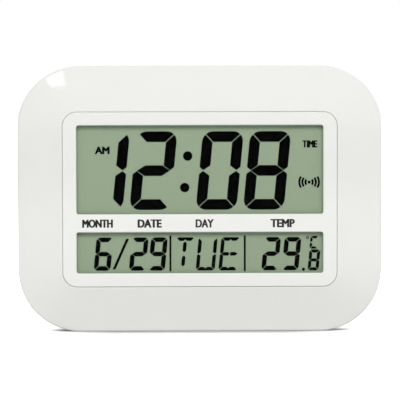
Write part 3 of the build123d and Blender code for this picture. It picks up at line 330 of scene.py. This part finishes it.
INK_COAT = 0.04 * MM
panel_low, panel_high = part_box("front_panel")
BAR_MIDDLE = 82.2 * MM
WORD_HEIGHT = 6.2 * MM
ink = new_material("pad_printing_ink")
ink_place = add_node(ink, "TexCoord").outputs["Object"]
spread = add_node(ink, "TexNoise", {"Vector": ink_place, "Scale": 1 / (0.25 * MM)})
ink_tone = add_node(
    ink, "Mix", {0: spread.outputs[0], 6: linear("0E0E0E"), 7: linear("161616")}, data_type="RGBA"
)
ink_skin = add_node(ink, "BsdfPrincipled", {"Base Color": ink_tone.outputs[2], "Roughness": 0.42})
add_node(ink, "OutputMaterial", {"Surface": ink_skin.outputs[0]})
# Each word, how far its middle is right of the clock's, its width and its weight, in millimetres.
for words, middle_x, width, weight in (
    ("MONTH", -77.1, 23.1, 0.44),
    ("DATE", -37.9, 18.1, 0.46),
    ("DAY", 3.5, 13.6, 0.36),
    ("TEMP", 62.3, 18.3, 0.42),
):
    printed = lettering(
        "printed_" + words.lower(),
        words,
        (middle_x * MM, panel_low.y - INK_COAT / 2, BAR_MIDDLE),
        (width * MM, INK_COAT, WORD_HEIGHT),
        weight * MM,
    )
    printed.data.materials.append(ink)
    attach(printed, "case")

# ---- Window lens and the two clear layers of the display
# A clear acrylic sheet behind both windows keeps dust out. The display's polarising film and its front
# glass lie close behind it, bonded to each other, so that only the acrylic shines.


def clear_layer(name, alpha, roughness, gloss):
    """A clear sheet, which lets nearly all the light through. gloss is 0 where it hardly shines."""
    material = new_material(name)
    skin = add_node(
        material,
        "BsdfPrincipled",
        {
            "Base Color": linear("121312"),
            "Alpha": alpha,
            "Roughness": roughness,
            "IOR": 1.49,
            "Specular IOR Level": gloss,
        },
    )
    add_node(material, "OutputMaterial", {"Surface": skin.outputs[0]})
    return material


dress(clear_layer("clear_acrylic", alpha=0.02, roughness=0.05, gloss=0.5), "display_lens")
dress(clear_layer("polariser_film", alpha=0.015, roughness=0.2, gloss=0.0), "front_polariser")
dress(clear_layer("float_glass", alpha=0.01, roughness=0.03, gloss=0.0), "front_glass")
for clear_name in ("display_lens", "front_polariser", "front_glass"):
    clear_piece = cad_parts[clear_name]
    clear_piece.visible_shadow = False  # clear sheets let all of the light down to the display
    clear_piece.visible_diffuse = False

# ---- Display background and reflector
# The rear glass with the grey-green tint that the liquid crystal and both polarisers give to an unlit
# display. A foil with a fine brushed grain lies behind it and sends the daylight back. Neither the glass
# nor the dye on it has air in front of it, so they hardly shine.
display_green = new_material("display_grey_green")
green_place = add_node(display_green, "TexCoord").outputs["Object"]
sparkle = add_node(
    display_green, "TexNoise", {"Vector": green_place, "Scale": 1 / (0.7 * MM), "Detail": 2.0}
)
green_tone = add_node(
    display_green,
    "Mix",
    {0: sparkle.outputs[0], 6: linear("A0B196"), 7: linear("99AB90")},
    data_type="RGBA",
)
green_skin = add_node(
    display_green,
    "BsdfPrincipled",
    {"Base Color": green_tone.outputs[2], "Roughness": 0.6, "Specular IOR Level": 0.1},
)
add_node(display_green, "OutputMaterial", {"Surface": green_skin.outputs[0]})
dress(display_green, "rear_glass")

BRUSH_LENGTH, BRUSH_FINENESS = 9 * MM, 30
foil = new_material("brushed_reflector_foil")
foil_place = add_node(foil, "TexCoord").outputs["Object"]
foil_drawn = add_node(foil, "Mapping", {"Vector": foil_place, "Scale": (1, 1, BRUSH_FINENESS)})
brushed = add_node(
    foil, "TexNoise", {"Vector": foil_drawn.outputs[0], "Scale": 1 / BRUSH_LENGTH, "Detail": 3.0}
)
foil_rough = add_node(foil, "MapRange", {0: brushed.outputs[0], 3: 0.25, 4: 0.5})
foil_skin = add_node(
    foil,
    "BsdfPrincipled",
    {"Base Color": linear("C9CDC6"), "Metallic": 1.0, "Roughness": foil_rough.outputs[0]},
)
add_node(foil, "OutputMaterial", {"Surface": foil_skin.outputs[0]})
dress(foil, "reflector")

# ---- Characters of the display
# Dark liquid crystal between the glasses, which looks nearly black and without shine. The slanted digits
# are CAD solids, and the fixed words and the reception sign are made here in the same layer and dye.
lcd_dye = new_material("dark_liquid_crystal")
dye_place = add_node(lcd_dye, "TexCoord").outputs["Object"]
density = add_node(lcd_dye, "TexNoise", {"Vector": dye_place, "Scale": 1 / (1.5 * MM)})
dye_tone = add_node(
    lcd_dye, "Mix", {0: density.outputs[0], 6: linear("020202"), 7: linear("060606")}, data_type="RGBA"
)
dye_skin = add_node(
    lcd_dye,
    "BsdfPrincipled",
    {"Base Color": dye_tone.outputs[2], "Roughness": 0.5, "Specular IOR Level": 0.02},
)
add_node(lcd_dye, "OutputMaterial", {"Surface": dye_skin.outputs[0]})
dress(lcd_dye, "lcd_segments")

DYE_THICK = 0.08 * MM
segments_low, segments_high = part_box("lcd_segments")
dye_y = (segments_low.y + segments_high.y) / 2
display_middle = (panel_low.z + panel_high.z) / 2
# Each word, how far its middle is right of the display's and above it, its width, height and weight, in
# millimetres.
for name, words, middle_x, above, width, height, weight in (
    ("lcd_word_am", "AM", -73.5, 36.9, 11.2, 5.6, 0.46),
    ("lcd_word_time", "TIME", 83.0, 41.4, 11.2, 5.3, 0.35),
):
    fixed_word = lettering(
        name,
        words,
        (middle_x * MM, dye_y, display_middle + above * MM),
        (width * MM, DYE_THICK, height * MM),
        weight * MM,
    )
    fixed_word.data.materials.append(lcd_dye)
    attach(fixed_word, "case")

SIGN_RIGHT, SIGN_ABOVE = 82.5 * MM, 12.6 * MM
sign_centre = Vector((SIGN_RIGHT, dye_y + DYE_THICK / 2, display_middle + SIGN_ABOVE))
DOT_RADIUS = 1.15 * MM
WAVES = ((2.75, 44), (5.1, 39), (7.4, 34))  # each arc's radius in mm, and half its angle in degrees
WAVE_STROKE = 1.55 * MM
sign = bmesh.new()
dot = bmesh.ops.create_circle(sign, cap_ends=True, segments=20, radius=DOT_RADIUS)
bmesh.ops.rotate(sign, verts=dot["verts"], matrix=Matrix.Rotation(math.pi / 2, 3, "X"))
for side in (-1, 1):
    for radius, half_angle in WAVES:
        turned = math.radians(half_angle)
        reach = Vector((side * math.cos(turned), 0, -math.sin(turned)))
        inner = sign.verts.new(reach * (radius * MM - WAVE_STROKE / 2))
        outer = sign.verts.new(reach * (radius * MM + WAVE_STROKE / 2))
        bmesh.ops.spin(
            sign,
            geom=[inner, outer, sign.edges.new((inner, outer))],
            axis=(0, -side, 0),
            angle=2 * turned,
            steps=10,
        )
bmesh.ops.recalc_face_normals(sign, faces=sign.faces)
plate = bmesh.ops.extrude_face_region(sign, geom=sign.faces)
raised = [v for v in plate["geom"] if isinstance(v, bmesh.types.BMVert)]
bmesh.ops.translate(sign, verts=raised, vec=(0, -DYE_THICK, 0))
bmesh.ops.translate(sign, verts=sign.verts, vec=sign_centre)
bmesh.ops.recalc_face_normals(sign, faces=sign.faces)
sign_mesh = bpy.data.meshes.new("lcd_reception_sign")
sign.to_mesh(sign_mesh)
sign.free()
sign_mesh.materials.append(lcd_dye)
reception_sign = bpy.data.objects.new("lcd_reception_sign", sign_mesh)
scene.collection.objects.link(reception_sign)
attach(reception_sign, "case")

# ---- Rear cover, foot and battery door
# White ABS from a spark-eroded mould, which gives the back an even matt grain that hides scratches. The
# foot turns on two pins, and the door holds by two tabs and a latch finger.
SPARK_GRAIN = 0.6 * MM  # the real grain is some 0.1 mm, and is drawn coarser so that it shows
matt_abs = moulded(
    "spark_grained_white_abs", "E9E9E5", "E4E4DF", (0.42, 0.58), SPARK_GRAIN, depth=0.02 * MM
)
dress(matt_abs, "rear_cover", "foot", "battery_door")

# ---- Keys and their plungers
# Caps of light grey ABS with a soft sheen, each on a plunger that reaches its switch. The plungers are
# natural nylon, which is waxy and faintly yellow.
key_abs = moulded("satin_grey_abs", "C6C9C8", "BFC2C1", (0.3, 0.4), grain=0.4 * MM, depth=0.005 * MM)
nylon = moulded("natural_nylon", "E2DCCB", "DAD3C0", (0.35, 0.5), grain=0.8 * MM, depth=0.004 * MM)
KEYS = ("set", "plus", "minus", "unit", "wave", "reset")
dress(key_abs, *["key_" + key for key in KEYS])
dress(nylon, *["plunger_" + key for key in KEYS])

# ---- Names beside the keys
# Pad printed on the rear cover in the same ink, one to the right of each key for a person behind the
# clock. They say what each key does, and share one left edge.
NAME_GAP = 4 * MM
NAME_WEIGHT = 0.12 * MM
name_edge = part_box("key_set")[0].x - NAME_GAP
cover_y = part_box("rear_cover")[1].y
# Each key and its name, and that name's width and height in millimetres.
for key, words, width, height in (
    ("set", "SET", 8.2, 3.2),
    ("plus", "+", 3.0, 3.0),
    ("minus", "-", 3.0, 1.0),
    ("unit", "\u00b0C/\u00b0F", 10.2, 3.3),
    ("wave", "WAVE", 10.6, 3.2),
    ("reset", "RESET", 11.6, 3.2),
):
    key_low, key_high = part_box("key_" + key)
    key_name = lettering(
        "key_name_" + key,
        words,
        (name_edge - width * MM / 2, cover_y + INK_COAT / 2, (key_low.z + key_high.z) / 2),
        (width * MM, INK_COAT, height * MM),
        NAME_WEIGHT,
        back=True,
    )
    key_name.data.materials.append(ink)
    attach(key_name, "case")

# ---- Case screws
# Zinc-plated steel screws with a pan head and a cross recess, sunk in the rear cover. The plate is bright
# when new, and dulls in small clouds. Each recess is cut into the head: two crossed strips of its top are
# divided off, sunk and narrowed.
CORNER_SCREW_X = 105 * MM
CORNER_SCREW_INSET = 16 * MM  # from the lower and the upper edge
SIDE_SCREW_X = 121.65 * MM
HEAD_REACH = 3 * MM  # no part of a head's top lies further from its middle
CROSS_HALF_WIDTH = 0.42 * MM
CROSS_REACH = 1.75 * MM
CROSS_DEPTH = 1.3 * MM
CROSS_TAPER = 0.55  # how wide the cross is at its floor, as a share of its mouth
FACING_OUT = 0.99  # the least part of its normal that a face of the top has outwards
zinc = new_material("zinc_plated_steel")
zinc_place = add_node(zinc, "TexCoord").outputs["Object"]
dulling = add_node(zinc, "TexNoise", {"Vector": zinc_place, "Scale": 1 / (1.2 * MM), "Detail": 4.0})
zinc_tone = add_node(
    zinc, "Mix", {0: dulling.outputs[0], 6: linear("C4C7CA"), 7: linear("9EA2A6")}, data_type="RGBA"
)
zinc_rough = add_node(zinc, "MapRange", {0: dulling.outputs[0], 3: 0.22, 4: 0.42})
zinc_skin = add_node(
    zinc,
    "BsdfPrincipled",
    {"Base Color": zinc_tone.outputs[2], "Metallic": 1.0, "Roughness": zinc_rough.outputs[0]},
)
add_node(zinc, "OutputMaterial", {"Surface": zinc_skin.outputs[0]})
dress(zinc, "holder_screws", "board_screws", "key_board_screws")

screws = bmesh.new()
screws.from_mesh(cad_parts["case_screws"].data)
bmesh.ops.remove_doubles(screws, verts=screws.verts, dist=1e-6)
head_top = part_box("case_screws")[1].y
corner_heights = (CORNER_SCREW_INSET, cad_box[1].z - CORNER_SCREW_INSET)
screws_at = [(x, z) for x in (-CORNER_SCREW_X, CORNER_SCREW_X) for z in corner_heights]
screws_at += [(x, display_middle) for x in (-SIDE_SCREW_X, SIDE_SCREW_X)]
for screw_x, screw_z in screws_at:
    middle = Vector((screw_x, head_top, screw_z))
    for direction in (Vector((1, 0, 0)), Vector((0, 0, 1))):
        for offset in (-CROSS_REACH, -CROSS_HALF_WIDTH, CROSS_HALF_WIDTH, CROSS_REACH):
            top = [
                f
                for f in screws.faces
                if f.normal.y > FACING_OUT and (f.calc_center_median() - middle).length < HEAD_REACH
            ]
            top_edges = dict.fromkeys(e for f in top for e in f.edges)
            top_corners = dict.fromkeys(v for f in top for v in f.verts)
            bmesh.ops.bisect_plane(
                screws,
                geom=[*top_corners, *top_edges, *top],
                dist=1e-7,
                plane_co=middle + direction * offset,
                plane_no=direction,
            )
    cross = []
    for f in screws.faces:
        off = f.calc_center_median() - middle
        across, along = sorted((abs(off.x), abs(off.z)))
        on_top = f.normal.y > FACING_OUT and abs(off.y) < 0.01 * MM
        if on_top and across < CROSS_HALF_WIDTH and along < CROSS_REACH:
            cross.append(f)
    sunk = bmesh.ops.extrude_face_region(screws, geom=cross)
    floor_of_cross = [v for v in sunk["geom"] if isinstance(v, bmesh.types.BMVert)]
    bmesh.ops.delete(screws, geom=cross, context="FACES_ONLY")
    bmesh.ops.translate(screws, verts=floor_of_cross, vec=(0, -CROSS_DEPTH, 0))
    bmesh.ops.scale(
        screws,
        vec=(CROSS_TAPER, 1, CROSS_TAPER),
        space=Matrix.Translation(-middle),
        verts=floor_of_cross,
    )
screws_mesh = bpy.data.meshes.new("cross_head_screws")
screws.to_mesh(screws_mesh)
screws.free()
screws_mesh.materials.append(zinc)
cross_head_screws = bpy.data.objects.new("cross_head_screws", screws_mesh)
scene.collection.objects.link(cross_head_screws)
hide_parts("case_screws")
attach(cross_head_screws, "case")

# ---- Display holder, switches and contact strip
# The holder and the switch housings are black polystyrene with a low sheen. The strip is silicone rubber
# with carbon layers every half millimetre, which join the board's pads to those on the glass.
black_polystyrene = moulded(
    "black_polystyrene", "1B1C1D", "232426", (0.3, 0.45), grain=1.0 * MM, depth=0.004 * MM
)
dress(black_polystyrene, "lcd_holder", "switches")

STRIPE = 0.5 * MM
WAVE_PERIOD = 2 * math.pi / 20  # from band to band of the Wave texture at a scale of 1, in metres
zebra = new_material("striped_contact_rubber")
zebra_place = add_node(zebra, "TexCoord").outputs["Object"]
stripes = add_node(
    zebra, "TexWave", {"Vector": zebra_place, "Scale": WAVE_PERIOD / STRIPE}, bands_direction="X"
)
zebra_tone = add_node(
    zebra, "Mix", {0: stripes.outputs["Fac"], 6: linear("1D1D1E"), 7: linear("B9A6A0")}, data_type="RGBA"
)
zebra_skin = add_node(zebra, "BsdfPrincipled", {"Base Color": zebra_tone.outputs[2], "Roughness": 0.7})
add_node(zebra, "OutputMaterial", {"Surface": zebra_skin.outputs[0]})
dress(zebra, "contact_strip")

# ---- Circuit boards
# Glass-fibre epoxy boards under green solder mask, which is smooth and a little glossy. Copper tracks
# show through it as lighter green lines, raised by the thickness of the foil.
TRACK_PITCH = 2.5 * MM
board_mask = new_material("green_masked_circuit_board")
board_place = add_node(board_mask, "TexCoord").outputs["Object"]
tracks = add_node(
    board_mask,
    "TexVoronoi",
    {"Vector": board_place, "Scale": 1 / TRACK_PITCH, "Randomness": 0.7},
    feature="DISTANCE_TO_EDGE",
)
track_edge = add_node(board_mask, "MapRange", {0: tracks.outputs["Distance"], 1: 0.05, 2: 0.09})
board_tone = add_node(
    board_mask,
    "Mix",
    {0: track_edge.outputs[0], 6: linear("2E7A4B"), 7: linear("1B5A36")},
    data_type="RGBA",
)
board_relief = add_node(
    board_mask, "Bump", {"Height": track_edge.outputs[0], "Distance": 0.04 * MM}, invert=True
)
board_skin = add_node(
    board_mask,
    "BsdfPrincipled",
    {"Base Color": board_tone.outputs[2], "Roughness": 0.32, "Normal": board_relief.outputs[0]},
)
add_node(board_mask, "OutputMaterial", {"Surface": board_skin.outputs[0]})
dress(board_mask, "main_board", "key_board", "receiver_board")

# ---- Controller, crystal, capacitors and thermometer
# The controller is matt moulded epoxy. The crystal's can and the thermometer's cap are steel, on which
# drawing left fine lines. The capacitors are aluminium cans in a dark sleeve that leaves the top bare.
epoxy = moulded("black_moulding_epoxy", "202122", "2A2B2C", (0.5, 0.65), grain=0.35 * MM, depth=0.01 * MM)
dress(epoxy, "controller")

DRAW_LENGTH, DRAW_FINENESS = 3 * MM, 12
drawn_steel = new_material("drawn_steel_can")
steel_place = add_node(drawn_steel, "TexCoord").outputs["Object"]
steel_drawn = add_node(
    drawn_steel, "Mapping", {"Vector": steel_place, "Scale": (DRAW_FINENESS, 1, DRAW_FINENESS)}
)
draw_lines = add_node(
    drawn_steel, "TexNoise", {"Vector": steel_drawn.outputs[0], "Scale": 1 / DRAW_LENGTH}
)
can_rough = add_node(drawn_steel, "MapRange", {0: draw_lines.outputs[0], 3: 0.2, 4: 0.38})
can_skin = add_node(
    drawn_steel,
    "BsdfPrincipled",
    {"Base Color": linear("C2C3C4"), "Metallic": 1.0, "Roughness": can_rough.outputs[0]},
)
add_node(drawn_steel, "OutputMaterial", {"Surface": can_skin.outputs[0]})
dress(drawn_steel, "crystal", "thermometer")

BARE_RIM = 0.35 * MM
sleeve_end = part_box("capacitors")[1].y - BARE_RIM
sleeved = new_material("sleeved_aluminium_can")
sleeved_place = add_node(sleeved, "TexCoord").outputs["Object"]
height_up = add_node(sleeved, "SeparateXYZ", {0: sleeved_place}).outputs["Y"]
bare = add_node(sleeved, "Math", {0: height_up, 1: sleeve_end}, operation="GREATER_THAN")
scuffs = add_node(sleeved, "TexNoise", {"Vector": sleeved_place, "Scale": 1 / (0.8 * MM), "Detail": 3.0})
sleeved_tone = add_node(
    sleeved, "Mix", {0: bare.outputs[0], 6: linear("1E2A45"), 7: linear("CFD1D3")}, data_type="RGBA"
)
sleeved_rough = add_node(sleeved, "MapRange", {0: scuffs.outputs[0], 3: 0.25, 4: 0.42})
sleeved_skin = add_node(
    sleeved,
    "BsdfPrincipled",
    {
        "Base Color": sleeved_tone.outputs[2],
        "Metallic": bare.outputs[0],
        "Roughness": sleeved_rough.outputs[0],
    },
)
add_node(sleeved, "OutputMaterial", {"Surface": sleeved_skin.outputs[0]})
dress(sleeved, "capacitors")

# ---- Aerial
# A sintered ferrite rod, matt and dark with fine pores. A bobbin on it holds fine enamelled copper wire,
# wound on between two nylon flanges.
ferrite = moulded("sintered_ferrite", "3B3A3A", "2C2B2C", (0.55, 0.75), grain=0.5 * MM, depth=0.02 * MM)
dress(ferrite, "ferrite_rod")

WIRE_PITCH = 0.45 * MM  # the real wire is 0.2 mm, and is drawn coarser so that its turns show
FLANGE = 1.3 * MM
coil_low, coil_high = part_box("aerial_coil")
coil_middle = (coil_low.x + coil_high.x) / 2
wound_half = (coil_high.x - coil_low.x) / 2 - FLANGE
winding = new_material("enamelled_copper_winding")
winding_place = add_node(winding, "TexCoord").outputs["Object"]
turns = add_node(
    winding, "TexWave", {"Vector": winding_place, "Scale": WAVE_PERIOD / WIRE_PITCH}, bands_direction="X"
)
along_rod = add_node(winding, "SeparateXYZ", {0: winding_place}).outputs["X"]
off_middle = add_node(winding, "Math", {0: along_rod, 1: coil_middle}, operation="SUBTRACT")
distance = add_node(winding, "Math", {0: off_middle.outputs[0]}, operation="ABSOLUTE")
flange = add_node(winding, "Math", {0: distance.outputs[0], 1: wound_half}, operation="GREATER_THAN")
# The turns are drawn as dark and light copper bands: the dark bands are painted shade in the grooves
# between turns.
copper_with_painted_groove_shade = add_node(
    winding, "Mix", {0: turns.outputs["Fac"], 6: linear("6E3418"), 7: linear("B5652F")}, data_type="RGBA"
)
winding_tone = add_node(
    winding,
    "Mix",
    {0: flange.outputs[0], 6: copper_with_painted_groove_shade.outputs[2], 7: linear("DDD6C4")},
    data_type="RGBA",
)
winding_relief = add_node(winding, "Bump", {"Height": turns.outputs["Fac"], "Distance": 0.06 * MM})
winding_skin = add_node(
    winding,
    "BsdfPrincipled",
    {"Base Color": winding_tone.outputs[2], "Roughness": 0.33, "Normal": winding_relief.outputs[0]},
)
add_node(winding, "OutputMaterial", {"Surface": winding_skin.outputs[0]})
dress(winding, "aerial_coil")

# ---- Leads and key ribbon
# Stranded copper in soft PVC, with the faint waviness of extruded sheath. Red is the supply and black
# the return, and grey joins the receiver and the key board to the main board.
SHEATHS = {
    "red_pvc_sheath": ("B3201E", "A31B1A", ["positive_lead"]),
    "black_pvc_sheath": ("202020", "292929", ["negative_lead"]),
    "grey_pvc_sheath": ("9C9EA0", "8F9193", ["receiver_lead", "key_ribbon"]),
}
for name, (light, dark, leads) in SHEATHS.items():
    dress(moulded(name, light, dark, (0.35, 0.5), grain=1.2 * MM, depth=0.01 * MM), *leads)

# ---- Cells
# Two alkaline cells, head to tail: a steel can in a printed sleeve, pale grey with a plain teal band at
# the cap end, and bare nickel-plated ends. Distances are from the middle of the clock, towards the cap.
BASE_EDGE = -22.55 * MM
BAND_START = 12 * MM
CAP_EDGE = 26.1 * MM
for cell_name, cap_side in (("upper_cell", 1), ("lower_cell", -1)):
    sleeve = new_material(cell_name + "_sleeve")
    sleeve_place = add_node(
        sleeve,
        "Mapping",
        {"Vector": add_node(sleeve, "TexCoord").outputs["Object"], "Scale": (cap_side, 1, 1)},
    )
    along_cell = add_node(sleeve, "SeparateXYZ", {0: sleeve_place.outputs[0]}).outputs["X"]
    banded = add_node(sleeve, "Math", {0: along_cell, 1: BAND_START}, operation="GREATER_THAN")
    cap = add_node(sleeve, "Math", {0: along_cell, 1: CAP_EDGE}, operation="GREATER_THAN")
    base = add_node(sleeve, "Math", {0: along_cell, 1: BASE_EDGE}, operation="LESS_THAN")
    metal = add_node(sleeve, "Math", {0: cap.outputs[0], 1: base.outputs[0]}, operation="MAXIMUM")
    wrap_tone = add_node(
        sleeve, "Mix", {0: banded.outputs[0], 6: linear("C9CCCE"), 7: linear("2D7F86")}, data_type="RGBA"
    )
    sleeve_tone = add_node(
        sleeve,
        "Mix",
        {0: metal.outputs[0], 6: wrap_tone.outputs[2], 7: linear("B9B6AE")},
        data_type="RGBA",
    )
    rubbing = add_node(
        sleeve, "TexNoise", {"Vector": sleeve_place.outputs[0], "Scale": 1 / (4 * MM), "Detail": 4.0}
    )
    sleeve_rough = add_node(sleeve, "MapRange", {0: rubbing.outputs[0], 3: 0.2, 4: 0.36})
    sleeve_skin = add_node(
        sleeve,
        "BsdfPrincipled",
        {
            "Base Color": sleeve_tone.outputs[2],
            "Metallic": metal.outputs[0],
            "Roughness": sleeve_rough.outputs[0],
        },
    )
    add_node(sleeve, "OutputMaterial", {"Surface": sleeve_skin.outputs[0]})
    dress(sleeve, cell_name)

# ---- Battery contacts
# Spring steel plates and coils, bright with nickel plate and faintly yellow against zinc. The plates
# stand at the ends of the battery well, and the coils press on the bases of the cells.
nickel = new_material("nickel_plated_spring_steel")
nickel_place = add_node(nickel, "TexCoord").outputs["Object"]
film = add_node(nickel, "TexNoise", {"Vector": nickel_place, "Scale": 1 / (2.5 * MM), "Detail": 3.0})
nickel_tone = add_node(
    nickel, "Mix", {0: film.outputs[0], 6: linear("CFC9BC"), 7: linear("B7B0A2")}, data_type="RGBA"
)
nickel_rough = add_node(nickel, "MapRange", {0: film.outputs[0], 3: 0.14, 4: 0.3})
nickel_skin = add_node(
    nickel,
    "BsdfPrincipled",
    {"Base Color": nickel_tone.outputs[2], "Metallic": 1.0, "Roughness": nickel_rough.outputs[0]},
)
add_node(nickel, "OutputMaterial", {"Surface": nickel_skin.outputs[0]})
dress(nickel, "negative_contact", "positive_contact", "link_contact")
